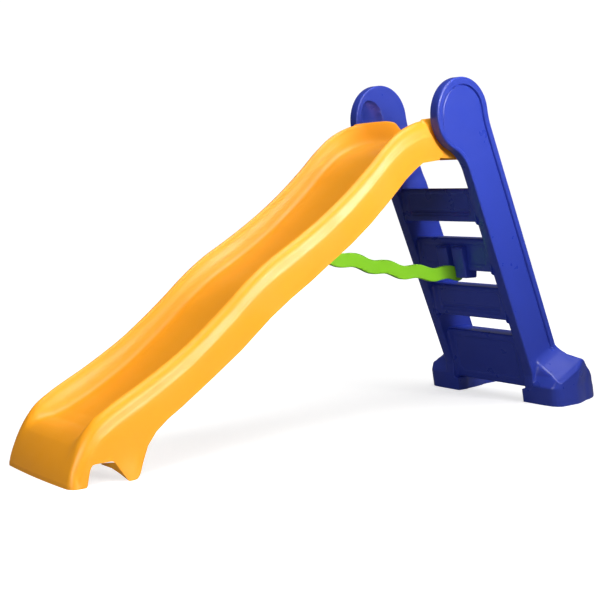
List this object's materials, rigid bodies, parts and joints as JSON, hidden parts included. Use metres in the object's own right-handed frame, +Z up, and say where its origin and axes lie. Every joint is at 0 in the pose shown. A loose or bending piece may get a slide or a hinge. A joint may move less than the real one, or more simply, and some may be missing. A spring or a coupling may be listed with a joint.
{
  "type": "toddler slide",
  "caption": "Folding toddler slide: wavy moulded chute hinged on a four-step ladder with round grip ears, held open by a wavy brace.",
  "frame": {"origin": "on the floor under the middle of the slide's length and width", "axes": "+Z up, +X from the chute's exit towards the ladder, Y across"},
  "size_m": [2.3, 0.66, 1.1999],
  "materials": {
    "chute_yellow": "glossy moulded",
    "ladder_blue": "glossy moulded",
    "brace_green": "glossy moulded",
    "bush_nylon": "natural nylon",
    "steel": "zinc plated"
  },
  "bodies": {
    "chute": {"slide_chute": "chute_yellow", "hinge_block_left": "chute_yellow", "hinge_block_right": "chute_yellow", "hinge_bush_left": "bush_nylon", "hinge_bush_right": "bush_nylon", "brace_catch": "chute_yellow", "catch_pin": "steel", "catch_screws": "steel"},
    "ladder": {"side_rail_left": "ladder_blue", "side_rail_right": "ladder_blue", "hinge_pin_left": "steel", "hinge_pin_right": "steel", "step_1": "ladder_blue", "step_2": "ladder_blue", "step_3": "ladder_blue", "step_4": "ladder_blue", "step_screws": "steel", "brace_bracket": "ladder_blue", "brace_pin": "steel", "brace_pin_clips": "steel"},
    "brace": {"support_brace": "brace_green"}
  },
  "joints": [
    {"name": "ladder_fold", "type": "hinge", "parent": "chute", "child": "ladder", "pos_m": [0.3859, 0, 1.00804], "axis": [0, 1, 0], "range_deg": [0, 52]},
    {"name": "brace_swing", "type": "hinge", "parent": "ladder", "child": "brace", "pos_m": [0.60483, 0, 0.49523], "axis": [0, 1, 0], "range_deg": [-91, 0]}
  ],
  "couplings": [
    {"joint": "brace_swing", "follows": "ladder_fold", "ratio": -1.75}
  ]
}
